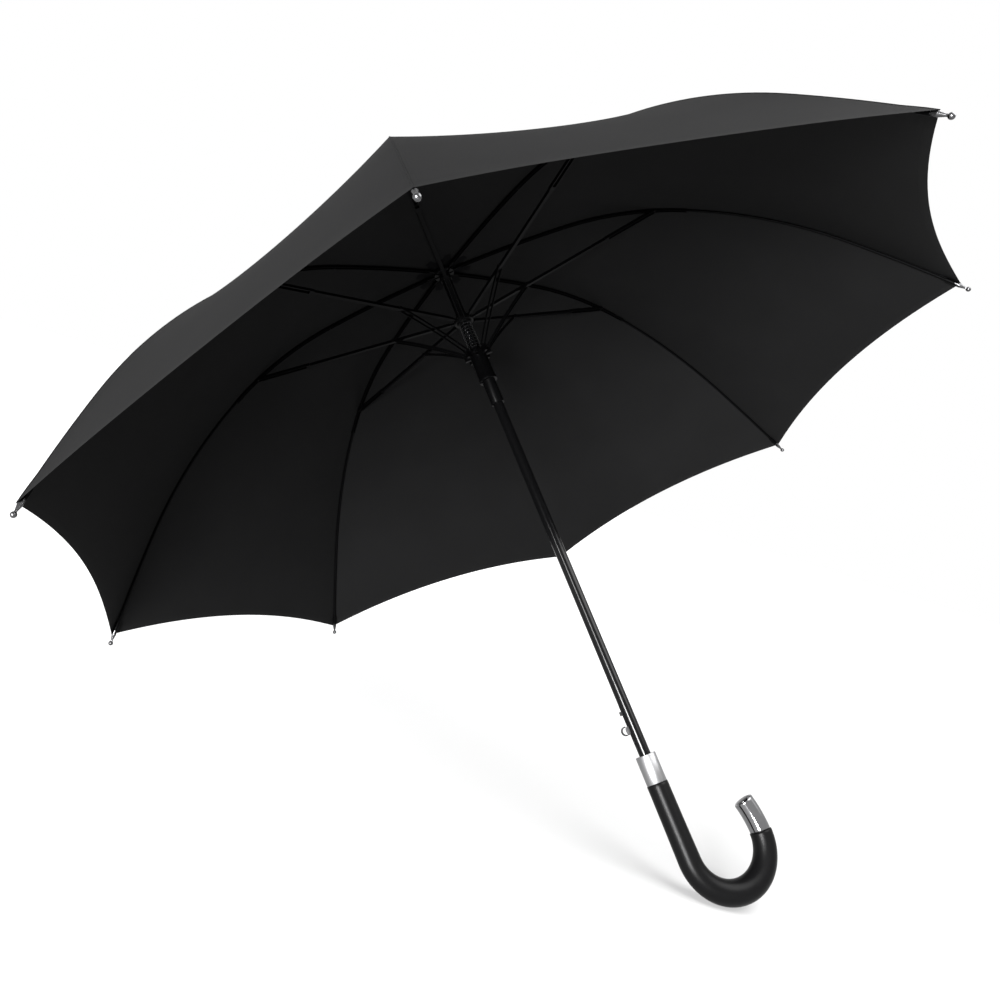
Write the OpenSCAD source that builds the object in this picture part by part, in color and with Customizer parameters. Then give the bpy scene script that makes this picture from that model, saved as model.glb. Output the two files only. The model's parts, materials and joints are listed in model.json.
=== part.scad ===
// Automatic stick umbrella, shown open: eight two-part ribs, a tubular shaft and a crook handle.
// +Z runs up the shaft, the crook opens towards +X, and the origin is the middle of the grip.

/* [Shaft] */
// Outer radius of the tubular shaft
shaft_r = 6; // [5.5:0.1:6.5]
// Wall thickness of the shaft
shaft_wall = 0.8; // [0.6:0.1:1]
// Height of the rib hinges above the middle of the grip
hub_z = 673; // [650:1:700]
// Distance of the rib and stretcher hinges from the middle of the shaft
pivot_r = 10; // [9.8:0.1:10.4]

/* [Ribs] */
// Length of the nearly straight stretch of rib next to the hub
crown_len = 150; // [140:1:160]
// Length of the stretch that curves down to the stretcher's joint
shoulder_len = 112; // [105:1:120]
// Length from the stretcher's joint to the end of the steel rib
clip_len = 38; // [34:1:44]
// Length of the curved stretch of the fibreglass rod
bow_len = 190; // [175:1:200]
// Length of the straighter stretch of rod up to the canopy's corner
end_len = 126; // [115:1:135]
// Downward slope where the shoulder starts, in degrees
crown_slope = 6; // [5:0.5:7]
// Downward slope at the stretcher's joint, in degrees
joint_slope = 24; // [22:0.5:25]
// Downward slope at the end of the steel rib, in degrees
clip_slope = 30; // [28:0.5:31]
// Downward slope where the rod straightens, in degrees
bow_slope = 51; // [49:0.5:53]
// Downward slope at the canopy's corner, in degrees
tip_slope = 55; // [54:0.5:57]
// Width of the steel rib's channel
rib_w = 3.8; // [3.6:0.1:4]
// Height of the steel rib's channel
rib_h = 3.4; // [3.2:0.1:3.6]
// Diameter of the fibreglass rod
rod_d = 3; // [2.6:0.1:3.2]

/* [Stretchers and struts] */
// Width of a stretcher's channel
bar_w = 4.2; // [4:0.1:4.4]
// Height of a stretcher's channel
bar_h = 3.6; // [3.4:0.1:3.8]
// Length of the fork that straddles the rib
fork_len = 66; // [60:1:70]
// Distance of the strut's pivot from the slider's pivot, along the stretcher
strut_at = 80; // [76:1:84]
// Height of the runner's lugs below the slider's pivots
lug_drop = 46; // [44:0.5:48]
// Distance of the strut's lower pin from the middle of the shaft
lug_r = 15.5; // [15:0.1:16]
// Thickness of a strut's side plate
plate_t = 0.7; // [0.6:0.1:0.8]

/* [Canopy] */
// Thickness of the fabric panels
fabric_t = 0.8; // [0.6:0.1:1]
// How far the hem of a panel curves in between its corners, seen from above
hem_sag = 11; // [6:1:20]
// Radius of the fabric rosette under the crown
rosette_r = 36; // [30:1:40]

/* [Handle] */
// Radius of the grip
grip_r = 10.9; // [10.5:0.1:11.5]
// Length of the straight part of the grip
grip_len = 74; // [70:1:80]
// Radius of the crook, to the middle of the tube
crook_r = 41; // [38:0.5:44]
// Angle that the dark part of the crook turns through, in degrees
crook_turn = 179; // [172:1:190]
// Length of the metal end cap
cap_len = 32; // [28:1:40]
// Length of the metal collar
collar_len = 28; // [24:1:32]
// Outer radius of the metal collar
collar_r = 10.4; // [10:0.1:11]

/* [Ferrule] */
// Height of the spike above the crown cap
spike_len = 82; // [70:1:90]
// Radius of the spike's metal tip
spike_r = 5; // [4.5:0.1:5.5]
// Length of the spike's cylindrical tip
spike_tip_len = 20; // [15:1:25]

/* [Hidden] */
RIBS = 8;
RIB_NAMES = [for (k = [1:RIBS]) str(k)];

// Shared fits
run_gap = 0.05;      // radial clearance of a pin in its hole
side_gap = 0.3;      // clearance beside a tongue in its slot
slide_gap = 0.15;    // radial clearance of a slider on the shaft
wire_r = 0.8;        // hinge wire of the hub and the slider
hub_eye_r = 1.7;     // eye at the hub end of a rib
rivet_r = 1;         // rivet of the stretcher's joint
strut_pin_r = 0.9;   // pins of a strut
tongue_w = 2;        // flat ends of ribs and stretchers
tongue_h = 2.6;
root_len = 7;        // distance from a hinge to the start of a channel
root_lap = 6;        // how far a tongue runs on inside its channel
rib_wall = 0.6;
web_t = 0.8;         // thin web or band where two stretches of a rib meet
bar_wall = 0.7;
bar_eye_r = 2.3;     // eye at the slider end of a stretcher
slot_w = tongue_w + 2 * side_gap;
cut = 1;             // how far a cutting shape runs past the face it opens
ARC_FN = 360;
TURNED_FN = 96;
ROUND_FN = 48;

// The rib's outline: five arcs, in the rib's own plane, as [distance from the shaft, height]
rib_slope = [0, crown_slope, joint_slope, clip_slope, bow_slope, tip_slope];
rib_len = [crown_len, shoulder_len, clip_len, bow_len, end_len];
function arc_end(p, a0, a1, len) =
    let (turn = a1 - a0, chord = 360 * len / (PI * turn) * sin(turn / 2), mid = (a0 + a1) / 2)
    p + chord * [cos(mid), -sin(mid)];
function rib_point(i) =
    i == 0 ? [pivot_r, hub_z]
           : arc_end(rib_point(i - 1), rib_slope[i - 1], rib_slope[i], rib_len[i - 1]);
function slope_within(i, share) = rib_slope[i] + share * (rib_slope[i + 1] - rib_slope[i]);
function point_within(i, share) =
    share <= 0 ? rib_point(i)
               : arc_end(rib_point(i), rib_slope[i], slope_within(i, share), share * rib_len[i]);
joint_p = rib_point(2);
flex_p = rib_point(3);
corner_p = rib_point(5);

// Rib and stretcher are equally long between pivots, so the slider stays level at every fold
bar_len = norm(joint_p - [pivot_r, hub_z]);
bar_rise = atan2(hub_z - joint_p[1], joint_p[0] - pivot_r);
slider_z = 2 * joint_p[1] - hub_z;
runner_z = slider_z - lug_drop;
strut_p = [pivot_r, slider_z] + strut_at * [cos(bar_rise), sin(bar_rise)];
lug_p = [lug_r, runner_z];
strut_chord = norm(strut_p - lug_p);
strut_rise = atan2(strut_p[1] - lug_p[1], strut_p[0] - lug_p[0]);
strut_turn = 9;      // the strut's gentle arch, in degrees
plate_w = 3;         // height of a strut's side plate
strut_eye_r = 2.2;
strut_eye_t = plate_t + 0.1;
plate_y = bar_w / 2 + side_gap;
strut_pin_w = 2 * (plate_y + plate_t) + 0.4;
fork_gap = rib_w + 2 * side_gap;
fork_t = 0.9;
fork_eye_r = 2.2;
fork_lap = 4;        // how far the fork's foot reaches back over the channel

// Where the rod is hinged to the steel rib
flex_eye_r = 2;      // cheeks on the steel rib
flex_cheek_len = 5.5;
flex_gap = 5;        // the channel's roof stops this far before the hinge
rod_eye_r = 1.7;
rod_tongue_h = 2.4;
rod_root = 5;        // the round rod starts this far after the hinge

// Rib tip: a sleeve over the rod's end, a neck and a ball
tip_grip = 16;       // how far the sleeve covers the rod
tip_base = 0.4;      // how far the neck's cone starts behind the canopy's corner
tip_cone_r = 2.5;
tip_cone_len = 6;
tip_neck_r = 1.2;
tip_neck_len = 8;
tip_ball_r = 2.7;
tip_ball_at = 9.5;   // middle of the ball, beyond the canopy's corner
sleeve_gap = 0.03;   // radial fit of the sleeve on the rod
sleeve_wall = 0.87;
rod_end_gap = 0.2;   // space between the rod's end and the tip's cone

// Canopy panels
panel_half = 180 / RIBS;
panel_edge = 14;     // distance of a panel's inner edge from the shaft
fabric_lift = 3.6;   // height of a panel's underside above the middle of the ribs
PANEL_STEPS = 6;

// Rings on the shaft
hub_r = 13;
hub_half = 2.8;      // half the height of the hub's ring
hub_slot_top = 1.9;  // height of the hinge slots' roof above the hinges
hub_sleeve_len = 12;
sleeve_r = 7.2;      // sleeves of the hub and the slider
bore_r = shaft_r + slide_gap; // bore of the slider and of the runner
slider_r = 12;
slider_top = 2.6;    // height of the slider's ring above its pivots
slider_base = 3.4;   // depth of the slider's ring below its pivots
slider_slot_foot = 2.7;
slider_sleeve_top = 8;
slider_foot_r = 9.4;
slot_r = 7.4;        // how deep the hinge slots reach towards the shaft
runner_r = 10.2;
skirt_r = 7.8;
lug_w = 3.6;
runner_head_r = 11.6;
runner_foot_r = 10.9;
runner_ring_h = 4;
lug_foot = 9;        // how far the lugs reach below their pins
lug_edge = 1.5;      // how far the lugs reach beyond their pins

// Places along the shaft
collar_z = grip_len / 2;
shaft_foot = -22;
crown_z = hub_z + 4.5;
cap_h = 10;
cap_r = 21.4;
rosette_t = 0.4;
spike_cone = 3;
spike_edge = 2;
spike_z = crown_z + cap_h;
shaft_top = spike_z + 6;
end_rho = 109;       // radius of the end cap's own, wider curve
cap_step = 0.3;      // how far the end cap lies below the grip's surface
catch_z = 80;        // hinge of the release catch
tooth_z = 109;
button_z = 92;
button_x = -9.8;     // middle of the button's curl
curl_r = 4;
curl_t = 1.2;        // thickness of the rolled edge of the button
catch_x = -4.3;      // middle of the catch's strip, inside the tube
catch_w = 2.4;
catch_t = 0.8;
catch_pin_r = 0.7;
catch_eye_r = 1.5;
catch_top = 8;       // how far the strip runs on above the tooth
tooth_x = -8.3;      // outer face of the tooth
tooth_half = 2;
curl_from = 75;      // where the button's curl starts, in degrees
curl_turn = 195;
shaft_window_w = 3.2;
shaft_window_foot = 3; // how far the shaft's window reaches below the catch's hinge
shaft_window_len = 40;
shaft_window_in = 2.5; // distance of the window's inner edge from the middle of the shaft
window_w = 3.6;      // windows of the runner
window_out = 12;
window_in = 1;
window_gap = 9;      // space in the runner's windows beyond the button and the tooth
runner_head = 5;     // the runner's body starts this far below its lug pins
runner_body_len = 38;
runner_skirt_len = 31.5;
runner_foot = runner_z - runner_head - runner_body_len;
skirt_foot = runner_foot - runner_skirt_len;
slider_foot = 6;     // how far the slider reaches below its pivots
spring_r = 7.9;
spring_wire_r = 0.6;
spring_turns = 7;
spring_seat = 0.2;   // clearance at each end of the spring
SPRING_STEPS = 20;
SPRING_SIDES = 8;
fold_turn = 75;      // how far the ribs turn when the umbrella closes
closed_rise = bar_rise + fold_turn;
closed_slider_z = hub_z - 2 * bar_len * sin(closed_rise);
closed_strut_p = [pivot_r, closed_slider_z] + strut_at * [cos(closed_rise), sin(closed_rise)];
closed_runner_z = closed_strut_p[1] - sqrt(pow(strut_chord, 2) - pow(closed_strut_p[0] - lug_r, 2));
closed_drop = runner_z - closed_runner_z; // how far the runner travels down as it closes

// Azimuth of a rib, and of the panel that follows it
function rib_azimuth(k) = (k - 0.5) * 360 / RIBS;
function gore_azimuth(k) = k * 360 / RIBS;

// A bar bent along an arc in the XZ plane; its section lies in (outward, sideways)
module bent_bar(p, a0, a1, len) {
    rho = 180 * len / (PI * (a1 - a0));
    translate([p[0] - rho * sin(a0), 0, p[1] - rho * cos(a0)])
        rotate([90, 0, 0])
            rotate([0, 0, 90 - a1])
                rotate_extrude(angle = a1 - a0, $fn = ARC_FN)
                    translate([rho, 0])
                        children();
}
// One stretch of the rib, between two shares of arc i
module rib_run(i, from = 0, to = 1) {
    bent_bar(point_within(i, from), slope_within(i, from), slope_within(i, to), (to - from) * rib_len[i])
        children();
}
module at_point(p, slope) {
    translate([p[0], 0, p[1]])
        rotate([0, slope, 0])
            children();
}
module cross_pin(r, w) {
    rotate([90, 0, 0])
        cylinder(r = r, h = w, center = true, $fn = ROUND_FN);
}
module side_plate(r, y0, t) {
    for (s = [-1, 1])
        translate([0, s * (y0 + t / 2), 0])
            cross_pin(r, t);
}
module channel_section(h, w, wall) {
    difference() {
        translate([-h / 2, -w / 2])
            square([h, w]);
        translate([-h / 2 - 1, -w / 2 + wall])
            square([h + 1 - wall, w - 2 * wall]);
    }
}

module steel_rib() {
    difference() {
        union() {
            at_point(rib_point(0), 0) {
                cross_pin(hub_eye_r, tongue_w);
                translate([0, -tongue_w / 2, -tongue_h / 2])
                    cube([root_len + root_lap, tongue_w, tongue_h]);
            }
            rib_run(0, root_len / crown_len, 1)
                channel_section(rib_h, rib_w, rib_wall);
            rib_run(1)
                channel_section(rib_h, rib_w, rib_wall);
            rib_run(2, 0, 1 - flex_gap / clip_len)
                channel_section(rib_h, rib_w, rib_wall);
            at_point(rib_point(1), crown_slope)
                cube([web_t, rib_w, rib_h], center = true);
            at_point(joint_p, joint_slope)
                cross_pin(rib_h / 2, rib_w);
            at_point(flex_p, clip_slope) {
                side_plate(flex_eye_r, rib_w / 2 - rib_wall, rib_wall);
                for (s = [-1, 1])
                    translate([-flex_cheek_len, s * (rib_w - rib_wall) / 2 - rib_wall / 2, -rib_h / 2])
                        cube([flex_cheek_len, rib_wall, rib_h]);
                cross_pin(wire_r, rib_w);
            }
        }
        at_point(rib_point(0), 0)
            cross_pin(wire_r + run_gap, 2 * rib_w);
        at_point(joint_p, joint_slope)
            cross_pin(rivet_r + run_gap, 2 * rib_w);
    }
}
module fibre_rod() {
    difference() {
        union() {
            at_point(flex_p, clip_slope) {
                cross_pin(rod_eye_r, tongue_w);
                translate([0, -tongue_w / 2, -rod_tongue_h / 2])
                    cube([root_len, tongue_w, rod_tongue_h]);
            }
            rib_run(3, rod_root / bow_len, 1)
                circle(d = rod_d, $fn = ROUND_FN);
            rib_run(4, 0, 1 - (tip_base + rod_end_gap) / end_len)
                circle(d = rod_d, $fn = ROUND_FN);
            at_point(rib_point(4), bow_slope)
                rotate([0, 90, 0])
                    cylinder(d = rod_d + 2 * run_gap, h = web_t, center = true, $fn = ROUND_FN);
        }
        at_point(flex_p, clip_slope)
            cross_pin(wire_r + run_gap, 2 * rib_w);
    }
}
module rib_cap() {
    rib_run(4, 1 - tip_grip / end_len, 1)
        difference() {
            circle(r = rod_d / 2 + sleeve_gap + sleeve_wall, $fn = ROUND_FN);
            circle(r = rod_d / 2 + sleeve_gap, $fn = ROUND_FN);
        }
    at_point(corner_p, tip_slope)
        rotate([0, 90, 0]) {
            translate([0, 0, -tip_base])
                cylinder(r1 = tip_cone_r, r2 = tip_neck_r, h = tip_base + tip_cone_len, $fn = ROUND_FN);
            cylinder(r = tip_neck_r, h = tip_neck_len, $fn = ROUND_FN);
            translate([0, 0, tip_ball_at])
                sphere(r = tip_ball_r, $fn = ROUND_FN);
        }
}
module stretcher_bar() {
    at_point([pivot_r, slider_z], -bar_rise) {
        difference() {
            union() {
                cross_pin(bar_eye_r, tongue_w);
                translate([0, -tongue_w / 2, -tongue_h / 2])
                    cube([root_len + root_lap, tongue_w, tongue_h]);
                translate([root_len, 0, 0])
                    rotate([90, 0, 90])
                        linear_extrude(bar_len - fork_len - root_len)
                            difference() {
                                square([bar_w, bar_h], center = true);
                                translate([-bar_w / 2 + bar_wall, -bar_h / 2 + bar_wall])
                                    square([bar_w - 2 * bar_wall, bar_h]);
                            }
                translate([strut_at, 0, 0])
                    cross_pin(bar_h / 2, bar_w);
                translate([bar_len - fork_len - fork_lap, -fork_gap / 2 - fork_t, -bar_h / 2])
                    cube([fork_lap + 1, fork_gap + 2 * fork_t, bar_h]);
                for (s = [-1, 1])
                    translate([bar_len - fork_len, s * (fork_gap + fork_t) / 2 - fork_t / 2, -bar_h / 2])
                        cube([fork_len, fork_t, bar_h]);
                translate([bar_len, 0, 0]) {
                    side_plate(fork_eye_r, fork_gap / 2, fork_t);
                    cross_pin(rivet_r, fork_gap + 2 * fork_t);
                }
            }
            cross_pin(wire_r + run_gap, 2 * bar_w);
            translate([strut_at, 0, 0])
                cross_pin(strut_pin_r + run_gap, 2 * bar_w);
        }
    }
}
module strut_link() {
    chord_turn = strut_turn * PI / 360;
    arc_len = strut_chord * chord_turn / sin(strut_turn / 2);
    for (s = [-1, 1])
        bent_bar(lug_p, -strut_rise - strut_turn / 2, -strut_rise + strut_turn / 2, arc_len)
            translate([-plate_w / 2, s * (plate_y + plate_t / 2) - plate_t / 2])
                square([plate_w, plate_t]);
    for (p = [lug_p, strut_p])
        at_point(p, 0) {
            side_plate(strut_eye_r, plate_y, strut_eye_t);
            cross_pin(strut_pin_r, strut_pin_w);
        }
}

module ring_slots(z0, z1) {
    for (k = [1:RIBS])
        rotate([0, 0, rib_azimuth(k)])
            translate([slot_r, -slot_w / 2, z0])
                cube([20, slot_w, z1 - z0]);
}
module hinge_wires(z) {
    for (k = [1:RIBS])
        rotate([0, 0, rib_azimuth(k)])
            translate([pivot_r, 0, z])
                cross_pin(wire_r, slot_w + 1.2);
}
module shaft() {
    color("#141414")
        difference() {
            translate([0, 0, shaft_foot])
                cylinder(r = shaft_r, h = shaft_top - shaft_foot, $fn = TURNED_FN);
            translate([0, 0, shaft_foot - cut])
                cylinder(r = shaft_r - shaft_wall, h = shaft_top - shaft_foot + 2 * cut, $fn = TURNED_FN);
            translate([-shaft_r - cut, -shaft_window_w / 2, catch_z - shaft_window_foot])
                cube([shaft_r + cut - shaft_window_in, shaft_window_w, shaft_window_len]);
        }
    color("silver")
        translate([catch_x, 0, catch_z])
            cross_pin(catch_pin_r, 2 * sqrt(pow(shaft_r - shaft_wall / 2, 2) - catch_x * catch_x));
}
module top_notch() {
    color("#202020") {
        difference() {
            translate([0, 0, hub_z - hub_half])
                cylinder(r = hub_r, h = 2 * hub_half, $fn = TURNED_FN);
            translate([0, 0, hub_z - hub_half - cut])
                cylinder(r = shaft_r, h = 2 * hub_half + 2 * cut, $fn = TURNED_FN);
            ring_slots(hub_z - hub_half - cut, hub_z + hub_slot_top);
        }
        difference() {
            translate([0, 0, hub_z - hub_sleeve_len])
                cylinder(r = sleeve_r, h = hub_sleeve_len, $fn = TURNED_FN);
            translate([0, 0, hub_z - hub_sleeve_len - cut])
                cylinder(r = shaft_r, h = hub_sleeve_len + 2 * cut, $fn = TURNED_FN);
        }
        hinge_wires(hub_z);
    }
}
module rosette() {
    color("#1c1c1e")
        difference() {
            translate([0, 0, hub_z + hub_half])
                cylinder(r = rosette_r, h = rosette_t, $fn = TURNED_FN);
            translate([0, 0, hub_z + hub_half - cut])
                cylinder(r = shaft_r, h = rosette_t + 2 * cut, $fn = TURNED_FN);
        }
}
module crown_cap() {
    color("#1a1a1c")
        translate([0, 0, crown_z])
            rotate_extrude($fn = TURNED_FN)
                polygon([[shaft_r, 0.3], [cap_r - 0.4, 0.3], [cap_r, 1], [16, 3.2], [11, 5.6],
                         [8.4, cap_h], [shaft_r, cap_h]]);
}
module ferrule() {
    spike_top = spike_z + spike_len;
    color("#18181a")
        difference() {
            translate([0, 0, spike_z])
                rotate_extrude($fn = TURNED_FN)
                    polygon([[0, 0], [8.2, 0], [8.2, 2], [7.2, 5], [spike_r + 0.4, spike_len - spike_tip_len],
                             [0, spike_len - spike_tip_len]]);
            translate([0, 0, spike_z - cut])
                cylinder(r = shaft_r, h = shaft_top - spike_z + cut, $fn = TURNED_FN);
        }
    color("silver") {
        translate([0, 0, spike_top - spike_tip_len])
            cylinder(r = spike_r, h = spike_tip_len, $fn = TURNED_FN);
        translate([0, 0, spike_top])
            cylinder(r1 = spike_r, r2 = spike_r - spike_edge, h = spike_cone, $fn = TURNED_FN);
    }
}
module upper_slider() {
    color("#202020") {
        difference() {
            union() {
                translate([0, 0, slider_z - slider_base])
                    cylinder(r = slider_r, h = slider_base + slider_top, $fn = TURNED_FN);
                translate([0, 0, slider_z - slider_foot])
                    cylinder(r = slider_foot_r, h = slider_foot - slider_base + 0.4, $fn = TURNED_FN);
                translate([0, 0, slider_z - 4])
                    cylinder(r = sleeve_r, h = slider_sleeve_top + 4, $fn = TURNED_FN);
            }
            translate([0, 0, slider_z - slider_foot - cut])
                cylinder(r = bore_r, h = slider_foot + slider_sleeve_top + 2 * cut, $fn = TURNED_FN);
            ring_slots(slider_z - slider_slot_foot, slider_z + slider_sleeve_top + cut);
        }
        hinge_wires(slider_z);
    }
}
module lower_runner() {
    window_top = button_z + window_gap + closed_drop;
    color("#1b1b1b")
        difference() {
            union() {
                translate([0, 0, runner_foot])
                    cylinder(r = runner_r, h = runner_body_len, $fn = TURNED_FN);
                translate([0, 0, skirt_foot])
                    cylinder(r = skirt_r, h = runner_skirt_len, $fn = TURNED_FN);
                translate([0, 0, runner_foot])
                    cylinder(r = runner_foot_r, h = runner_ring_h, $fn = TURNED_FN);
                translate([0, 0, runner_z - runner_head])
                    cylinder(r = runner_head_r, h = runner_ring_h, $fn = TURNED_FN);
                for (k = [1:RIBS])
                    rotate([0, 0, rib_azimuth(k)])
                        translate([skirt_r, -lug_w / 2, runner_z - lug_foot])
                            cube([lug_r + lug_edge - skirt_r, lug_w, lug_foot - strut_pin_r - side_gap]);
            }
            translate([0, 0, skirt_foot - cut])
                cylinder(r = bore_r, h = runner_z - skirt_foot + 2 * cut, $fn = TURNED_FN);
            translate([-window_out, -window_w / 2, skirt_foot - cut])
                cube([window_out - window_in, window_w, window_top - skirt_foot + cut]);
            translate([-window_out, -window_w / 2, tooth_z - window_gap / 2 + closed_drop])
                cube([window_out - window_in, window_w, window_gap]);
        }
}
module opening_spring() {
    low = runner_z - runner_head + runner_ring_h + spring_wire_r + spring_seat;
    high = slider_z - slider_foot - spring_wire_r - spring_seat;
    rings = spring_turns * SPRING_STEPS;
    points = [for (i = [0:rings], j = [0:SPRING_SIDES - 1])
        let (turn = 360 * i / SPRING_STEPS, a = 360 * j / SPRING_SIDES,
             r = spring_r + spring_wire_r * cos(a))
        [r * cos(turn), r * sin(turn), low + (high - low) * i / rings + spring_wire_r * sin(a)]];
    sides = [for (i = [0:rings - 1], j = [0:SPRING_SIDES - 1])
        let (n = (j + 1) % SPRING_SIDES, q = i * SPRING_SIDES)
        [q + j, q + SPRING_SIDES + j, q + SPRING_SIDES + n, q + n]];
    foot = [for (j = [0:SPRING_SIDES - 1]) j];
    head = [for (j = [SPRING_SIDES - 1:-1:0]) rings * SPRING_SIDES + j];
    color("#8a8a8a")
        polyhedron(points = points, faces = concat(sides, [foot], [head]), convexity = 10);
}
module release_catch() {
    color("silver")
        difference() {
            union() {
                translate([catch_x - catch_t / 2, -catch_w / 2, catch_z])
                    cube([catch_t, catch_w, tooth_z + catch_top - catch_z]);
                translate([catch_x, 0, catch_z])
                    cross_pin(catch_eye_r, catch_w);
                translate([tooth_x, -catch_w / 2, tooth_z - tooth_half])
                    cube([catch_x - tooth_x, catch_w, 2 * tooth_half]);
                translate([button_x, -catch_w / 2, button_z - curl_r - catch_t / 2])
                    cube([catch_x - button_x, catch_w, catch_t]);
                translate([button_x, 0, button_z])
                    rotate([90, 0, 0])
                        rotate([0, 0, curl_from])
                            rotate_extrude(angle = curl_turn, $fn = TURNED_FN)
                                translate([curl_r, 0])
                                    square([curl_t, catch_w], center = true);
            }
            translate([catch_x, 0, catch_z])
                cross_pin(catch_pin_r + run_gap, 2 * catch_w);
        }
}
module handle_collar() {
    color("silver")
        difference() {
            translate([0, 0, collar_z])
                cylinder(r = collar_r, h = collar_len, $fn = TURNED_FN);
            translate([0, 0, collar_z - cut])
                cylinder(r = shaft_r, h = collar_len + 2 * cut, $fn = TURNED_FN);
        }
}
module crook_grip() {
    color("#1d1d1f") {
        difference() {
            translate([0, 0, -grip_len / 2])
                cylinder(r = grip_r, h = grip_len, $fn = TURNED_FN);
            translate([0, 0, shaft_foot])
                cylinder(r = shaft_r, h = grip_len, $fn = TURNED_FN);
        }
        translate([crook_r, 0, -grip_len / 2])
            rotate([90, 0, 0])
                rotate([0, 0, 180])
                    rotate_extrude(angle = crook_turn, $fn = ARC_FN)
                        translate([crook_r, 0])
                            circle(r = grip_r, $fn = TURNED_FN);
    }
}
module grip_end_cap() {
    turn = 180 * cap_len / (PI * end_rho);
    over = crook_turn - 180;
    start = [crook_r + crook_r * cos(over), -grip_len / 2 + crook_r * sin(over)];
    centre = start - end_rho * [cos(over), sin(over)];
    color("silver")
        translate([centre[0], 0, centre[1]])
            rotate([90, 0, 0])
                rotate([0, 0, over])
                    rotate_extrude(angle = turn, $fn = ARC_FN)
                        translate([end_rho, 0])
                            circle(r = grip_r - cap_step, $fn = TURNED_FN);
}

// A canopy panel: straight across between its two ribs, and a little above them
function panel_point(i, share, lift) =
    let (p = point_within(i, share), a = atan(tan(slope_within(i, share)) / cos(panel_half)))
    [p[0] * cos(panel_half), p[1]] + lift * [sin(a), cos(a)];
function panel_line(lift) =
    [for (i = [0:4], j = [(i == 0 ? 0 : 1):PANEL_STEPS]) panel_point(i, j / PANEL_STEPS, lift)];
module panel() {
    under = panel_line(fabric_lift);
    over = panel_line(fabric_lift + fabric_t);
    reach = corner_p[0] * cos(panel_half);
    half_w = corner_p[0] * sin(panel_half);
    hem_r = (half_w * half_w + hem_sag * hem_sag) / (2 * hem_sag);
    wedge = 2 * reach;
    room = 40;
    difference() {
        intersection() {
            rotate([90, 0, 0])
                linear_extrude(2 * half_w + room, center = true)
                    polygon(concat(under, [for (i = [len(over) - 1:-1:0]) over[i]]));
            translate([side_gap / sin(panel_half), 0, corner_p[1] - room])
                linear_extrude(hub_z - corner_p[1] + 2 * room)
                    polygon([[0, 0], [wedge, -wedge * tan(panel_half)], [wedge, wedge * tan(panel_half)]]);
        }
        translate([reach - hem_sag + hem_r, 0, corner_p[1] - room])
            cylinder(r = hem_r, h = 3 * room, $fn = ARC_FN * 4);
        translate([0, 0, hub_z - room])
            cylinder(r = panel_edge, h = 2 * room, $fn = TURNED_FN);
    }
}

module rib(k) {
    color("#2a2a2c")
        rotate([0, 0, rib_azimuth(k)])
            steel_rib();
}
module outer_rib(k) {
    color("#101010")
        rotate([0, 0, rib_azimuth(k)])
            fibre_rod();
}
module rib_tip(k) {
    color("silver")
        rotate([0, 0, rib_azimuth(k)])
            rib_cap();
}
module stretcher(k) {
    color("#333336")
        rotate([0, 0, rib_azimuth(k)])
            stretcher_bar();
}
module strut(k) {
    color("#55555a")
        rotate([0, 0, rib_azimuth(k)])
            strut_link();
}
module gore(k) {
    color("#161618")
        rotate([0, 0, gore_azimuth(k)])
            panel();
}

shaft();
top_notch();
rosette();
crown_cap();
ferrule();
upper_slider();
lower_runner();
opening_spring();
release_catch();
handle_collar();
crook_grip();
grip_end_cap();
for (k = [1:RIBS]) {
    rib(k);
    outer_rib(k);
    rib_tip(k);
    stretcher(k);
    strut(k);
    gore(k);
}
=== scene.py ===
import json
import math

import bpy
import numpy as np
from mathutils import Matrix, Vector


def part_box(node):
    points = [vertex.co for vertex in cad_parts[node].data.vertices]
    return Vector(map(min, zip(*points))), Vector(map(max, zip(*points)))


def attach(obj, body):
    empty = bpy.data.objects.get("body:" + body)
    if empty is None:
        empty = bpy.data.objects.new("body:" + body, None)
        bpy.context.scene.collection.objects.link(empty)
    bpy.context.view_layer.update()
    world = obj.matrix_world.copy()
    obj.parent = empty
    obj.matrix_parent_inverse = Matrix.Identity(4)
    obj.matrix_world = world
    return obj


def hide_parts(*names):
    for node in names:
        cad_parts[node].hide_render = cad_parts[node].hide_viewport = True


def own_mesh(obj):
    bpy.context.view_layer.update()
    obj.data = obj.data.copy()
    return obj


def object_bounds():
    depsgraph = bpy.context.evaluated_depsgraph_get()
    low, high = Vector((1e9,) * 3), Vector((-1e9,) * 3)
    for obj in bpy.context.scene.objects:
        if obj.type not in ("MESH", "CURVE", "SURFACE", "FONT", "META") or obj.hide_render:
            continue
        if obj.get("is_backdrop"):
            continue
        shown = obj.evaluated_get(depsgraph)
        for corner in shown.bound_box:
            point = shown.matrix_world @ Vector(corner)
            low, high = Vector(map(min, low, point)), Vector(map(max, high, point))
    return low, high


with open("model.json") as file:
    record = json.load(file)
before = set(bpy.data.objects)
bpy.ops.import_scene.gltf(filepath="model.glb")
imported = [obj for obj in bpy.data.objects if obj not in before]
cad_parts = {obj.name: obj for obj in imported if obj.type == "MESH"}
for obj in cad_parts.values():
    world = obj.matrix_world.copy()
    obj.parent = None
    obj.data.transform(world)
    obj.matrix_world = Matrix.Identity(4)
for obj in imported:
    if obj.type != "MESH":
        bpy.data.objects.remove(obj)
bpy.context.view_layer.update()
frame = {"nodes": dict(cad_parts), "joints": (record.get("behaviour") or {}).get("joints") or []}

RIBS = 8
HALF = math.pi / RIBS  # half the angle between two ribs

joints = {j["name"]: j for j in frame["joints"]}


def radius_and_height(joint):
    """A joint's distance from the shaft's axis and its height, in metres."""
    x, y, z = joints[joint]["pos_m"]
    return math.hypot(x, y), z


def rib_azimuth(k):
    """Direction of rib k round the shaft, in radians."""
    x, y, _ = joints[f"rib_fold_{k}"]["pos_m"]
    return math.atan2(y, x)


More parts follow.
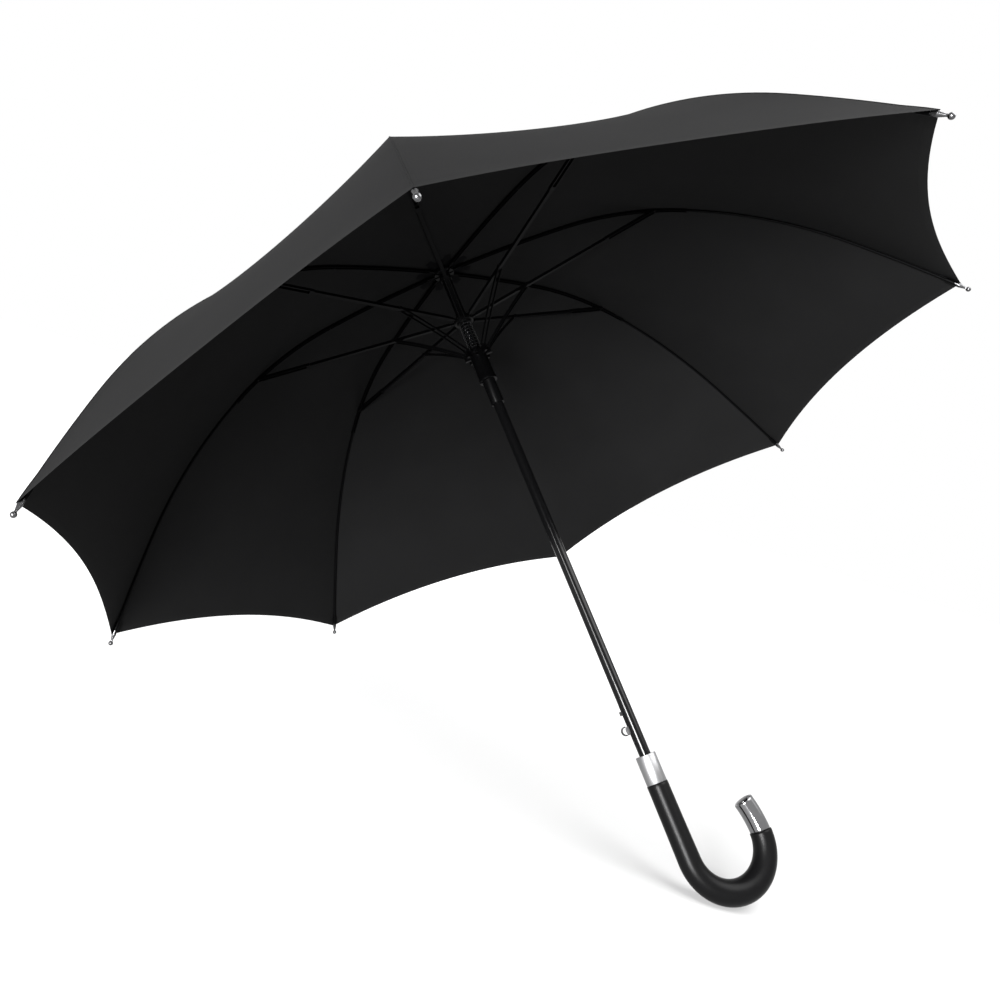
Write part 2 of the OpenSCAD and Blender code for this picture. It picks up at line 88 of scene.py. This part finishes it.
# ---------------------------------------------------------------- the rib's line
HUB_R, HUB_Z = radius_and_height("rib_fold_1")
FLEX_R, FLEX_Z = radius_and_height("rod_flex_1")
ARC_LENGTHS = [0.150, 0.112, 0.038, 0.190, 0.126]  # the rib's arcs from the hub to the corner
ARC_SLOPES = [math.radians(a) for a in (0, 6, 24, 30, 51, 55)]  # fall at the ends of the arcs
RIB_LENGTH = sum(ARC_LENGTHS)
RIB_SAMPLES = 2465
_s = np.linspace(0, RIB_LENGTH, RIB_SAMPLES)
_slope = np.interp(_s, np.concatenate([[0], np.cumsum(ARC_LENGTHS)]), ARC_SLOPES)
_step = _s[1] - _s[0]
_mid = (_slope[1:] + _slope[:-1]) / 2
_r = HUB_R + np.concatenate([[0], np.cumsum(np.cos(_mid)) * _step])
_z = HUB_Z - np.concatenate([[0], np.cumsum(np.sin(_mid)) * _step])
CORNER_R, CORNER_Z = _r[-1], _z[-1]


def rib_line(s, lift=0.0):
    """Distance from the axis and height of the rib's line at arc length s, raised by lift."""
    a = np.interp(s, _s, _slope)
    return np.interp(s, _s, _r) + lift * np.sin(a), np.interp(s, _s, _z) + lift * np.cos(a)


# ---------------------------------------------------------------- meshes
def mesh_piece(name, verts, faces, material, smooth=True, uv=None):
    """A mesh object from points and faces, with one uv for each point."""
    me = bpy.data.meshes.new(name)
    me.from_pydata([tuple(v) for v in verts], [], [tuple(f) for f in faces])
    if uv is not None:
        layer = me.uv_layers.new(name="UVMap")
        index = np.zeros(len(me.loops), np.int32)
        me.loops.foreach_get("vertex_index", index)
        layer.data.foreach_set("uv", np.asarray(uv, np.float32)[index].ravel())
    me.polygons.foreach_set("use_smooth", [smooth] * len(me.polygons))
    me.materials.append(material)
    me.validate()
    o = bpy.data.objects.new(name, me)
    bpy.context.scene.collection.objects.link(o)
    return o


def grid_faces(rows, cols, wrap=False):
    """Quads over a grid of points, closed round its columns if wrap is set."""
    out = []
    for i in range(rows - 1):
        for j in range(cols if wrap else cols - 1):
            n = (j + 1) % cols
            out.append((i * cols + j, i * cols + n, (i + 1) * cols + n, (i + 1) * cols + j))
    return out


def sweep(name, path, radii, sides, material):
    """A closed round bar along a path in the XZ plane. uv is metres round and along."""
    path = [Vector(p) for p in path]
    side = Vector((0, 1, 0))
    verts, uv, run = [], [], 0.0
    for i, p in enumerate(path):
        t = (path[min(i + 1, len(path) - 1)] - path[max(i - 1, 0)]).normalized()
        n = side.cross(t).normalized()
        if i:
            run += (p - path[i - 1]).length
        for j in range(sides):
            a = 2 * math.pi * j / sides
            verts.append(p + radii[i] * (math.cos(a) * n + math.sin(a) * side))
            uv.append((radii[i] * a, run))
    faces = grid_faces(len(path), sides, wrap=True)
    base = (len(path) - 1) * sides
    faces.append(tuple(reversed(range(sides))))
    faces.append(tuple(range(base, base + sides)))
    return mesh_piece(name, verts, faces, material, uv=uv)


# ---------------------------------------------------------------- materials
def nodes_of(name):
    """A new material with one Principled shader, its node tree and the shader."""
    m = bpy.data.materials.new(name)
    m.use_nodes = True
    nt = m.node_tree
    nt.nodes.clear()
    out = nt.nodes.new("ShaderNodeOutputMaterial")
    shader = nt.nodes.new("ShaderNodeBsdfPrincipled")
    nt.links.new(shader.outputs["BSDF"], out.inputs["Surface"])
    return m, nt, shader


def noise(nt, scale, detail=3.0, stretch=None):
    """Noise over the piece's own coordinates, in cells per metre, stretched if asked."""
    tex = nt.nodes.new("ShaderNodeTexNoise")
    tex.inputs["Scale"].default_value = scale
    tex.inputs["Detail"].default_value = detail
    where = nt.nodes.new("ShaderNodeTexCoord")
    source = where.outputs["Object"]
    if stretch is not None:
        mapping = nt.nodes.new("ShaderNodeMapping")
        mapping.inputs["Scale"].default_value = stretch
        nt.links.new(source, mapping.inputs["Vector"])
        source = mapping.outputs["Vector"]
    nt.links.new(source, tex.inputs["Vector"])
    return tex.outputs["Fac"]


def ramp(nt, source, low, high, start=0.0, end=1.0):
    """source from start to end, mapped to low to high."""
    r = nt.nodes.new("ShaderNodeMapRange")
    r.inputs["From Min"].default_value = start
    r.inputs["From Max"].default_value = end
    r.inputs["To Min"].default_value = low
    r.inputs["To Max"].default_value = high
    nt.links.new(source, r.inputs["Value"])
    return r.outputs["Result"]


def two_colours(nt, source, a, b):
    """A mix of two colours by source."""
    mix = nt.nodes.new("ShaderNodeMix")
    mix.data_type = "RGBA"
    mix.inputs["A"].default_value = (*a, 1)
    mix.inputs["B"].default_value = (*b, 1)
    nt.links.new(source, mix.inputs["Factor"])
    return mix.outputs["Result"]


def bump(nt, shader, source, strength, distance):
    """Let source raise the surface."""
    b = nt.nodes.new("ShaderNodeBump")
    b.inputs["Strength"].default_value = strength
    b.inputs["Distance"].default_value = distance
    nt.links.new(source, b.inputs["Height"])
    nt.links.new(b.outputs["Normal"], shader.inputs["Normal"])


GRAIN_DEPTH = 0.0003


def surface(name, colour, rough, metallic=0.0, spread=0.06, scale=220.0, stretch=None, grain=0.0,
            grain_scale=900.0, specular=0.5, shade=0.12):
    """A hard finish whose colour varies by shade and whose roughness varies by spread."""
    m, nt, shader = nodes_of(name)
    wear = noise(nt, scale, stretch=stretch)
    darker = tuple(c * (1 - shade) for c in colour)
    lighter = tuple(min(1.0, c * (1 + shade)) for c in colour)
    nt.links.new(two_colours(nt, wear, darker, lighter), shader.inputs["Base Color"])
    nt.links.new(ramp(nt, wear, rough - spread, rough + spread), shader.inputs["Roughness"])
    shader.inputs["Metallic"].default_value = metallic
    shader.inputs["Specular IOR Level"].default_value = specular
    if grain:
        bump(nt, shader, noise(nt, grain_scale, detail=4.0, stretch=stretch), grain, GRAIN_DEPTH)
    return m


shaft_black = surface("shaft_black", (0.0012, 0.0012, 0.0013), 0.16, spread=0.04, specular=0.13)
ferrule_black = surface("ferrule_black", (0.0016, 0.0016, 0.0018), 0.2, spread=0.03, specular=0.22)
hub_black = surface("hub_plastic", (0.0012, 0.0012, 0.0013), 0.42, specular=0.07)
runner_black = surface("runner_plastic", (0.0008, 0.0008, 0.0009), 0.34, spread=0.04, specular=0.035)
rib_black = surface("rib_steel", (0.0008, 0.0008, 0.0009), 0.40, spread=0.06, specular=0.015)
rod_black = surface("rod_fibreglass", (0.0008, 0.0008, 0.0009), 0.45, specular=0.015)
bar_black = surface("stretcher_steel", (0.0009, 0.0009, 0.0010), 0.30, spread=0.05, specular=0.03)
strut_black = surface("strut_steel", (0.0012, 0.0012, 0.0013), 0.34, specular=0.04)
cap_black = surface("cap_metal", (0.0030, 0.0030, 0.0032), 0.35, specular=0.2)
wire_steel = surface("spring_steel", (0.03, 0.03, 0.031), 0.20, metallic=1.0, spread=0.03)
silver = surface("tip_silver", (0.07, 0.07, 0.072), 0.26, metallic=1.0)
bright = surface("catch_steel", (0.03, 0.03, 0.031), 0.30, metallic=1.0)
cheek_steel = surface("button_cheek", (0.10, 0.10, 0.102), 0.5, metallic=1.0)
satin = surface("collar_silver", (0.22, 0.22, 0.224), 0.42, metallic=1.0, spread=0.02, scale=90.0,
                stretch=(6.0, 6.0, 0.6), grain=0.02, grain_scale=400.0)
chrome = surface("end_chrome", (0.20, 0.20, 0.205), 0.09, metallic=1.0, spread=0.02)
dark_plug = surface("end_plug", (0.012, 0.012, 0.0125), 0.3, specular=0.3)
leather = surface("grip_leather", (0.0020, 0.0020, 0.0021), 0.32, spread=0.06, scale=700.0, grain=0.35,
                  grain_scale=1300.0, specular=0.06, shade=0.25)


WEAVE_SCALE = 420.0
STITCH_FROM_SEAM = 0.0045
STITCH_FROM_HEM = 0.0085
STITCH_WIDTH = 0.0009
FOLD_WIDTH = 0.0085
CRUMPLE, STITCH_DEPTH, FOLD_HEIGHT = 1.5, 2.5, 2.0  # against a thread's height of 1
FOLD_TONE = 0.6
CLOTH_SHADE = 0.15


def cloth(name, base):
    """Tight plain weave. u is the distance from the rib's seam and v the distance from the hem, in metres."""
    m, nt, shader = nodes_of(name)
    uv = nt.nodes.new("ShaderNodeTexCoord").outputs["UV"]
    split = nt.nodes.new("ShaderNodeSeparateXYZ")
    nt.links.new(uv, split.inputs["Vector"])

    def band(source, centre, width):
        """1 within width of centre, fading to 0."""
        a = nt.nodes.new("ShaderNodeMath")
        a.operation = "SUBTRACT"
        a.inputs[1].default_value = centre
        nt.links.new(source, a.inputs[0])
        b = nt.nodes.new("ShaderNodeMath")
        b.operation = "ABSOLUTE"
        nt.links.new(a.outputs[0], b.inputs[0])
        r = nt.nodes.new("ShaderNodeMapRange")
        r.interpolation_type = "SMOOTHSTEP"
        r.inputs["From Min"].default_value = width
        r.inputs["From Max"].default_value = width * 0.4
        nt.links.new(b.outputs[0], r.inputs["Value"])
        return r.outputs["Result"]

    def add(a, b, scale):
        """a plus scale times b."""
        n = nt.nodes.new("ShaderNodeMath")
        n.operation = "MULTIPLY_ADD"
        n.inputs[1].default_value = scale
        nt.links.new(b, n.inputs[0])
        nt.links.new(a, n.inputs[2])
        return n.outputs[0]

    weave = nt.nodes.new("ShaderNodeTexWave")
    weave.wave_type = "BANDS"
    weave.bands_direction = "X"
    weave.inputs["Scale"].default_value = WEAVE_SCALE
    nt.links.new(uv, weave.inputs["Vector"])
    weft = nt.nodes.new("ShaderNodeTexWave")
    weft.bands_direction = "Y"
    weft.inputs["Scale"].default_value = WEAVE_SCALE
    nt.links.new(uv, weft.inputs["Vector"])
    height = add(weave.outputs["Fac"], weft.outputs["Fac"], 1.0)
    height = add(height, noise(nt, 60.0, detail=2.0), CRUMPLE)
    height = add(height, band(split.outputs["X"], STITCH_FROM_SEAM, STITCH_WIDTH), -STITCH_DEPTH)
    height = add(height, band(split.outputs["Y"], STITCH_FROM_HEM, STITCH_WIDTH), -STITCH_DEPTH)
    folded = band(split.outputs["Y"], 0.0, FOLD_WIDTH)
    height = add(height, folded, FOLD_HEIGHT)
    bump(nt, shader, height, 0.12, 0.0002)
    tone = add(noise(nt, 14.0, detail=3.0), folded, FOLD_TONE)
    darker, lighter = (tuple(c * (1 + shade) for c in base) for shade in (-CLOTH_SHADE, CLOTH_SHADE))
    nt.links.new(two_colours(nt, tone, darker, lighter), shader.inputs["Base Color"])
    shader.inputs["Roughness"].default_value = 0.66
    shader.inputs["Specular IOR Level"].default_value = 0.02
    return m


canopy_cloth = cloth("canopy_cloth", (0.0045, 0.0045, 0.0046))
rosette_cloth = surface("rosette_cloth", (0.0016, 0.0016, 0.0018), 0.75, specular=0.02)

# ---------------------------------------------------------------- the hard parts, as modelled
LOOKS = {
    "shaft": shaft_black, "top_notch": hub_black, "crown_cap": cap_black, "ferrule": ferrule_black,
    "upper_slider": hub_black, "lower_runner": runner_black, "release_catch": bright, "handle_collar": satin,
}
for k in range(1, RIBS + 1):
    LOOKS[f"rib_{k}"] = rib_black
    LOOKS[f"outer_rib_{k}"] = rod_black
    LOOKS[f"rib_tip_{k}"] = silver
    LOOKS[f"stretcher_{k}"] = bar_black
    LOOKS[f"strut_{k}"] = strut_black
BEVEL_ANGLE = math.radians(40)
WELD_GAP = 0.000001
ROUNDED = {"crown_cap": 0.0005, "handle_collar": 0.0004, "lower_runner": 0.0003, "upper_slider": 0.0003,
           "top_notch": 0.0003, "ferrule": 0.0003}
for name, look in LOOKS.items():
    o = frame["nodes"][name]
    o.data.materials.clear()
    o.data.materials.append(look)
    if name in ROUNDED:
        weld = o.modifiers.new("weld", "WELD")
        weld.merge_threshold = WELD_GAP
        bevel = o.modifiers.new("bevel", "BEVEL")
        bevel.width = ROUNDED[name]
        bevel.segments = 2
        bevel.limit_method = "ANGLE"
        bevel.angle_limit = BEVEL_ANGLE
        bevel.harden_normals = True


def second_look(name, look, chosen):
    """Give another material to the faces of a node whose centre passes the test."""
    mesh = frame["nodes"][name].data
    mesh.materials.append(look)
    for p in mesh.polygons:
        if chosen(p.center):
            p.material_index = 1


BRIGHT_TIP = 0.023  # length of the ferrule's bright end
ferrule_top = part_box("ferrule")[1].z
second_look("ferrule", silver, lambda c: c.z > ferrule_top - BRIGHT_TIP)
SLEEVE_SHADE_R = CORNER_R - 0.003  # painted shade: the tip's sleeve is painted black from here inwards, where it lies under the canopy's cloth
for k in range(1, RIBS + 1):
    second_look(f"rib_tip_{k}", rib_black, lambda c: math.hypot(c.x, c.y) < SLEEVE_SHADE_R)

# ---------------------------------------------------------------- grip and its end cap
GRIP_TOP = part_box("crook_grip")[1].z
GRIP_SIDES = 56
STRAIGHT_STEPS, BEND_STEPS = 24, 60
MOUTH_R, TOP_R, FOOT_R = 0.0103, 0.0108, 0.0113  # grip radius at its rounded rim, below it and at the bend
MOUTH_ROUND = 0.0006
SWELL, TAPER = 0.0011, 0.0003  # how much thicker the bend gets half way and thinner by its end
BEND_R = 0.041
BEND_Z = -GRIP_TOP
TURN = math.radians(179)
path, radii = [(0, 0, GRIP_TOP)], [MOUTH_R]
for i in range(STRAIGHT_STEPS + 1):
    share = i / STRAIGHT_STEPS
    z = GRIP_TOP - share * 2 * GRIP_TOP if i else GRIP_TOP - MOUTH_ROUND
    path.append((0, 0, z))
    radii.append(TOP_R + (FOOT_R - TOP_R) * share ** 2)
for i in range(1, BEND_STEPS + 1):
    share = i / BEND_STEPS
    a = math.pi + TURN * share
    path.append((BEND_R + BEND_R * math.cos(a), 0, BEND_Z + BEND_R * math.sin(a)))
    swell = math.sin(math.pi * min(1, share * 1.02)) ** 1.5
    radii.append(FOOT_R + SWELL * swell - TAPER * share)
grip = sweep("grip_cover", path, radii, GRIP_SIDES, leather)
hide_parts("crook_grip")
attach(grip, "shaft_and_handle")

OVER = TURN - math.pi
CAP_RHO = 0.109
CAP_LEN = 0.032
start = Vector((BEND_R + BEND_R * math.cos(OVER), 0, BEND_Z + BEND_R * math.sin(OVER)))
centre = start - CAP_RHO * Vector((math.cos(OVER), 0, math.sin(OVER)))


def on_cap(d):
    """The middle of the end cap at distance d from the leather."""
    a = OVER + d / CAP_RHO
    return centre + CAP_RHO * Vector((math.cos(a), 0, math.sin(a)))


CAP_R = 0.0102
CAP_STEPS = 20
ROOT = 0.0004  # chamfer next to the leather
EDGE = 0.0016  # rounding of the far edge
EDGE_START = CAP_LEN - 0.0020
LIP_DEPTH, LIP_WIDTH = 0.0008, 0.0019  # the rim's inner lip, from the cap's end and from its side
# distance from the leather and radius
steps = [(0.0, CAP_R - ROOT), (ROOT, CAP_R)]
steps += [(ROOT + (EDGE_START - ROOT) * i / CAP_STEPS, CAP_R) for i in range(1, CAP_STEPS + 1)]
steps += [(EDGE_START + EDGE * math.sin(a), CAP_R - EDGE * (1 - math.cos(a)))
          for a in (0.4, 0.8, 1.2, math.pi / 2)]
steps += [(CAP_LEN - LIP_DEPTH, CAP_R - LIP_WIDTH)]
end_cap = sweep("end_cap", [on_cap(d) for d, _ in steps], [r for _, r in steps], GRIP_SIDES, chrome)
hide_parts("grip_end_cap")
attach(end_cap, "shaft_and_handle")
PLUG_SIDES = 40
# distance from the cap's end and radius, up over the plug's low dome
plug_steps = [(CAP_LEN + d, r) for d, r in (
    (-0.0012, 0.0083), (-0.0006, 0.0082), (-0.0001, 0.0070), (0.0003, 0.0045), (0.0004, 0.0015))]
plug_path, plug_radii = [on_cap(d) for d, _ in plug_steps], [r for _, r in plug_steps]
plug = sweep("end_plug", plug_path, plug_radii, PLUG_SIDES, dark_plug)
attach(plug, "shaft_and_handle")

# ---------------------------------------------------------------- flat cheek of the catch's thumb button
catch_low, catch_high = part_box("release_catch")
CHEEK_OUT = catch_low.x + 0.0052  # inside the button's roll
CHEEK_IN = -0.0052  # just inside the shaft's wall
CHEEK_Z = catch_high.z - 0.025  # the button's height
CHEEK_HALF = 0.0040
CHEEK_T = 0.0008
# x and the share of half the height
outline = [(CHEEK_OUT, -0.6), (CHEEK_OUT, 0.3), (CHEEK_OUT + 0.0012, 0.9), (CHEEK_IN, 1.0), (CHEEK_IN, -1.0),
           (CHEEK_OUT + 0.0008, -0.9)]
verts = [(x, y, CHEEK_Z + share * CHEEK_HALF) for y in (-CHEEK_T / 2, CHEEK_T / 2) for x, share in outline]
count = len(outline)
faces = [tuple(reversed(range(count))), tuple(range(count, 2 * count))]
faces += [(i, (i + 1) % count, count + (i + 1) % count, count + i) for i in range(count)]
cheek = mesh_piece("button_cheek", verts, faces, cheek_steel, smooth=False)
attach(cheek, "catch_body")

# ---------------------------------------------------------------- opening spring
spring_low, spring_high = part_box("opening_spring")
WIRE = 0.00062
COIL = 0.0079
TURNS = 9
TURN_STEPS = 28
WIRE_SIDES = 10
low, high = spring_low.z + WIRE, spring_high.z - WIRE
coil_path = []
for i in range(TURNS * TURN_STEPS + 1):
    t = i / (TURNS * TURN_STEPS)
    a = 2 * math.pi * TURNS * t
    coil_path.append(Vector((COIL * math.cos(a), COIL * math.sin(a), low + (high - low) * t)))
verts = []
for p in coil_path:
    outward = Vector((p.x, p.y, 0)).normalized()
    for j in range(WIRE_SIDES):
        a = 2 * math.pi * j / WIRE_SIDES
        verts.append(p + WIRE * (math.cos(a) * outward + math.sin(a) * Vector((0, 0, 1))))
faces = grid_faces(len(coil_path), WIRE_SIDES, wrap=True)
faces += [tuple(reversed(range(WIRE_SIDES))), tuple(range(len(verts) - WIRE_SIDES, len(verts)))]
spring = mesh_piece("coil_spring", verts, faces, wire_steel)
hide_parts("opening_spring")
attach(spring, "slider_body")
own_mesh(spring)

# ---------------------------------------------------------------- canopy
HEM_PLAN = 0.011 / math.cos(HALF)  # how far the hem curves in between its corners
INNER_S = 0.007  # arc length at which the cloth begins, under the crown cap
SPLIT_S = 0.150
DIP = 0.010  # how far the cloth sinks between the ribs
FLAP = 0.018  # lap of the outer part inside the rib's hinge
FLAP_ROWS = 7
FLAP_LIFT = 0.00018
FLAP_FADE = 3  # rows over which the lap comes down to the cloth
CUT_LIMIT_S = 0.36  # the cut at the hinge lies between SPLIT_S and here
CUT_SAMPLES = 400
SEAM_LAP = 0.0004 / 0.1  # the halves run past the rib by this share, so no gap shows between them
COLS = 13
# each part of a half panel and its rows of points
ROWS = {"inner": 18, "middle": 26, "outer": 40}


def lift(s):
    """Height of the cloth above the rib's line: it lies on the channel, the rod and the tip's sleeve."""
    return np.interp(s, [0, 0.03, 0.28, 0.31, RIB_LENGTH - 0.03, RIB_LENGTH - 0.012, RIB_LENGTH],
                     [0.0034, 0.0024, 0.0024, 0.0021, 0.0021, 0.0029, 0.0030])


def cloth_point(g, s, w, up=0.0):
    """A point of panel g. w runs from -1 on rib g to 1 on rib g + 1; s is the arc length along the ribs."""
    r, z = rib_line(s, lift(s) + up)
    a = rib_azimuth(g)
    b = a + 2 * HALF
    t = (1 + w) / 2
    x = r * ((1 - t) * np.cos(a) + t * np.cos(b))
    y = r * ((1 - t) * np.sin(a) + t * np.sin(b))
    slope = np.interp(s, _s, _slope)
    dip = DIP * np.sin(np.pi * np.clip(s / RIB_LENGTH, 0, 1)) * (1 - w * w)
    m = a + HALF
    inwards = dip * np.sin(slope)
    return np.array([x - inwards * np.cos(m), y - inwards * np.sin(m), z - dip * np.cos(slope)])


def hem_s(w):
    """Arc length at which the hem lies: it curves in between its corners."""
    return float(np.interp(CORNER_R - HEM_PLAN * (1 - w * w), _r, _s))


def cut_s(w):
    """Arc length of the panel's point that is nearest to the hinge of the rib at its edge."""
    s = np.linspace(SPLIT_S, CUT_LIMIT_S, CUT_SAMPLES)
    r, z = rib_line(s, lift(s))
    t = 1 - abs(w)
    x = r * (1 - t / 2 * (1 - math.cos(2 * HALF)))
    return float(s[np.argmin((x - FLEX_R) ** 2 + (z - FLEX_Z) ** 2)])


def half_width(s):
    """Half of a panel's width at arc length s."""
    return np.interp(s, _s, _r) * math.sin(HALF)


def panel_ends(part, w):
    """Arc lengths at which a part of a panel begins and ends."""
    if part == "inner":
        return INNER_S, SPLIT_S
    if part == "middle":
        return SPLIT_S, cut_s(w)
    return cut_s(w) - FLAP, hem_s(w)


def panel_part(g, side, part):
    """Part of a half of panel g, next to rib g (side -1) or to the next rib (side 1)."""
    edge = 1 + SEAM_LAP
    ws = [-edge + edge * j / (COLS - 1) for j in range(COLS)]
    rows = ROWS[part]
    verts, uv = [], []
    for i in range(rows):
        for w in ws:
            wc = max(-1.0, w)
            s0, s1 = panel_ends(part, wc)
            up = 0.0
            if part == "outer" and i < FLAP_ROWS:
                s = s0 + FLAP * i / FLAP_ROWS
                up = FLAP_LIFT * min(1.0, (FLAP_ROWS - i) / FLAP_FADE)
            elif part == "outer":
                s = s0 + FLAP + (s1 - s0 - FLAP) * (i - FLAP_ROWS) / (rows - 1 - FLAP_ROWS)
            else:
                s = s0 + (s1 - s0) * i / (rows - 1)
            ww = w if side < 0 else -w
            verts.append(cloth_point(g, s, ww, up))
            uv.append((max(0.0, (1 - abs(wc)) * float(half_width(s))), hem_s(wc) - s))
    faces = grid_faces(rows, COLS)
    if side < 0:
        faces = [tuple(reversed(f)) for f in faces]
    k = g if side < 0 else g % RIBS + 1
    o = mesh_piece(f"panel_{g}_{'left' if side < 0 else 'right'}_{part}", verts, faces, canopy_cloth, uv=uv)
    if side < 0:
        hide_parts(f"gore_{g}")
    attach(o, f"rod_arm_{k}" if part == "outer" else f"rib_arm_{k}")
    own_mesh(o)


for g in range(1, RIBS + 1):
    for side in (-1, 1):
        for part in ROWS:
            panel_part(g, side, part)

# rosette: a small cloth disc under the crown, over the hub
ros_low, ros_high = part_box("rosette")
ROSETTE_R = ros_high.x
HOLE_R = 0.0062
RINGS, SPOKES = 12, 96
SAG, WAVE = 0.0006, 0.0010  # fall at the rim, and its extra fall between the ribs
ROSETTE_GAP = 0.0002  # above the node's lower side
verts = []
for i in range(RINGS):
    share = i / (RINGS - 1)
    r = HOLE_R + (ROSETTE_R - HOLE_R) * share
    for j in range(SPOKES):
        a = 2 * math.pi * j / SPOKES
        sag = share * (SAG + WAVE * (1 + math.cos(RIBS * (a - rib_azimuth(1) - HALF))))
        verts.append((r * math.cos(a), r * math.sin(a), ros_low.z + ROSETTE_GAP - sag))
faces = [tuple(reversed(f)) for f in grid_faces(RINGS, SPOKES, wrap=True)]
rosette = mesh_piece("rosette_disc", verts, faces, rosette_cloth)
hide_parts("rosette")
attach(rosette, "shaft_and_handle")

# ---------------------------------------------------------------- stage, camera and lights
BALL = 0.0027
BALL_OUT = 0.0095  # from the canopy's corner to the middle of the tip's ball
CROOK_R = 0.0124
FLOOR_GAP = 0.0003
FLOOR_HALF = 14.0
SETTLE_ROUNDS = 12


def ball_centre(k):
    """The middle of the ball on the tip of rib k."""
    a = rib_azimuth(k)
    r = CORNER_R + BALL_OUT * math.cos(ARC_SLOPES[-1])
    return Vector((r * math.cos(a), r * math.sin(a), CORNER_Z - BALL_OUT * math.sin(ARC_SLOPES[-1])))


# the umbrella lies on two rib tips and the bottom of the crook
up = Vector((0, -1, 0))
for _ in range(SETTLE_ROUNDS):
    down = Vector((-up.x, 0, -up.z)).normalized()
    crook = Vector((BEND_R, 0, BEND_Z)) + BEND_R * down - up * CROOK_R
    b, c = ball_centre(4) - up * BALL, ball_centre(3) - up * BALL
    n = (b - crook).cross(c - crook).normalized()
    up = n if n.dot(Vector((0, -1, 0))) > 0 else -n
middle = (b + c + crook) / 3
across = (b - c).normalized()
along = up.cross(across)
corners = [middle + FLOOR_HALF * (sx * across + sy * along) - up * FLOOR_GAP
           for sx, sy in ((-1, -1), (1, -1), (1, 1), (-1, 1))]
if (corners[1] - corners[0]).cross(corners[2] - corners[0]).dot(up) < 0:
    corners.reverse()
m, nt, shader = nodes_of("floor_white")
nt.links.new(two_colours(nt, noise(nt, 3.0), (0.30,) * 3, (0.32,) * 3), shader.inputs["Base Color"])
shader.inputs["Roughness"].default_value = 0.9
shader.inputs["Specular IOR Level"].default_value = 0.0
shader.inputs["Emission Color"].default_value = (1, 1, 1, 1)
# painted shade: it glows less round the crook, which darkens the floor round the contact and lets the soft
# shadows there show, and it glows white farther out
GLOW_NEAR, GLOW_FAR = 0.30, 1.0
NEAR, FAR = 0.1, 0.9
from_contact = nt.nodes.new("ShaderNodeVectorMath")
from_contact.operation = "DISTANCE"
from_contact.inputs[1].default_value = Vector((BEND_R, 0, BEND_Z))
nt.links.new(nt.nodes.new("ShaderNodeTexCoord").outputs["Object"], from_contact.inputs[0])
glow = ramp(nt, from_contact.outputs["Value"], GLOW_NEAR, GLOW_FAR, start=NEAR, end=FAR)
nt.links.new(glow, shader.inputs["Emission Strength"])
# seen from below it is clear
clear = nt.nodes.new("ShaderNodeBsdfTransparent")
mix = nt.nodes.new("ShaderNodeMixShader")
geometry = nt.nodes.new("ShaderNodeNewGeometry")
nt.links.new(geometry.outputs["Backfacing"], mix.inputs["Fac"])
nt.links.new(shader.outputs["BSDF"], mix.inputs[1])
nt.links.new(clear.outputs["BSDF"], mix.inputs[2])
nt.links.new(mix.outputs["Shader"], nt.nodes["Material Output"].inputs["Surface"])
floor = mesh_piece("floor", corners, [(0, 1, 2, 3)], m, smooth=False)
floor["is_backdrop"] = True

# the camera looks up into the canopy from in front of the crook, fitted to the photo
camera = bpy.data.objects.new("camera", bpy.data.cameras.new("camera"))
bpy.context.scene.collection.objects.link(camera)
bpy.context.scene.camera = camera
CAMERA_AT = Vector((-0.35796, -0.85110, 0.08008))
RIGHT = Vector((0.92391, -0.17831, -0.33853))
UP = Vector((0.2323, -0.44163, 0.8666))
BACK = RIGHT.cross(UP).normalized()
UP = BACK.cross(RIGHT).normalized()
camera.matrix_world = Matrix((
    (RIGHT.x, UP.x, BACK.x, CAMERA_AT.x),
    (RIGHT.y, UP.y, BACK.y, CAMERA_AT.y),
    (RIGHT.z, UP.z, BACK.z, CAMERA_AT.z),
    (0, 0, 0, 1),
))
camera.data.sensor_width = 36.0
camera.data.lens = 30.698
camera.data.shift_x = 0.0391
camera.data.shift_y = -0.0513
camera.data.clip_start = 0.01
camera.data.clip_end = 100.0

world = bpy.data.worlds.new("studio")
bpy.context.scene.world = world
world.use_nodes = True
wt = world.node_tree
background = wt.nodes["Background"]
background.inputs["Color"].default_value = (1, 1, 1, 1)
background.inputs["Strength"].default_value = 1.0


def area_light(name, where, target, size, power, tall=None):
    """A soft round lamp, or an oval one of height tall."""
    data = bpy.data.lights.new(name, "AREA")
    data.shape = "ELLIPSE"
    data.size = size
    data.size_y = tall or size
    data.energy = power
    o = bpy.data.objects.new(name, data)
    bpy.context.scene.collection.objects.link(o)
    o.location = where
    o.rotation_mode = "QUATERNION"
    o.rotation_quaternion = (Vector(target) - Vector(where)).to_track_quat("-Z", "Y")


middle_point = Vector((0.0, 0.0, 0.45))
ALONG_SHAFT = Vector((0, 0, 1))
in_front = middle_point + BACK * 2.3 - RIGHT * 0.7
area_light("key", middle_point + up * 1.95 - ALONG_SHAFT * 1.1, middle_point, 1.4, 42)
area_light("side", middle_point + up * 0.9 + RIGHT * 2.0, middle_point, 1.2, 3)
area_light("front", in_front, middle_point, 0.9, 300)
# gives the shaft its long narrow streak
area_light("strip", in_front + ALONG_SHAFT * 0.75, middle_point, 0.4, 50, tall=1.0)

scene = bpy.context.scene
scene.view_settings.view_transform = "Standard"
scene.view_settings.look = "None"
scene.cycles.use_denoising = True

low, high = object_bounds()
